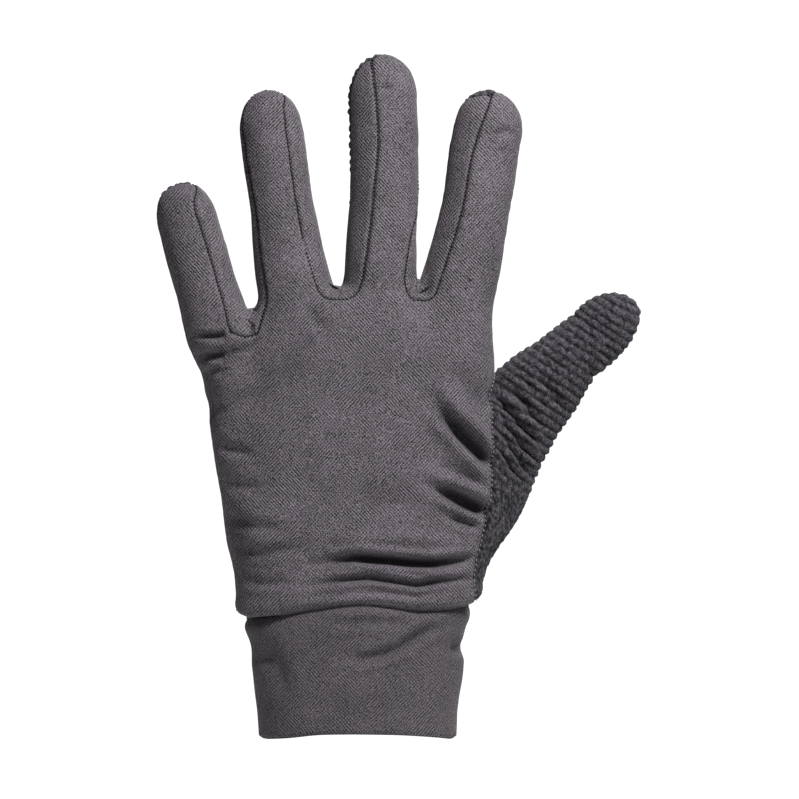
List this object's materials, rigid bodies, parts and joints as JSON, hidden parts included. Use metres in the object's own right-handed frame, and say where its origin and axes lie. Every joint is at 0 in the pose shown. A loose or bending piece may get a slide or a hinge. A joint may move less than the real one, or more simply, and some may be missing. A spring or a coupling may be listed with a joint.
{
  "type": "fleece glove",
  "caption": "Left-hand fleece glove with a smooth knit back, a ribbed fleece palm and thumb, side strips between the fingers and a doubled wrist cuff.",
  "frame": {"origin": "middle of the wrist opening, at the height where the cuff's side edges end", "axes": "+Z from the wrist opening towards the fingertips, +X towards the thumb, -Y out of the back of the hand"},
  "size_m": [0.1695, 0.0481, 0.2394],
  "materials": {
    "smooth_knit": "matte",
    "ribbed_fleece": "matte",
    "side_knit": "matte",
    "cuff_knit": "matte"
  },
  "bodies": {
    "root": {"back_panel": "smooth_knit", "palm_panel": "ribbed_fleece", "side_strip_little_ring": "side_knit", "side_strip_ring_middle": "side_knit", "side_strip_middle_index": "side_knit", "thumb": "ribbed_fleece", "cuff": "cuff_knit"}
  },
  "joints": []
}
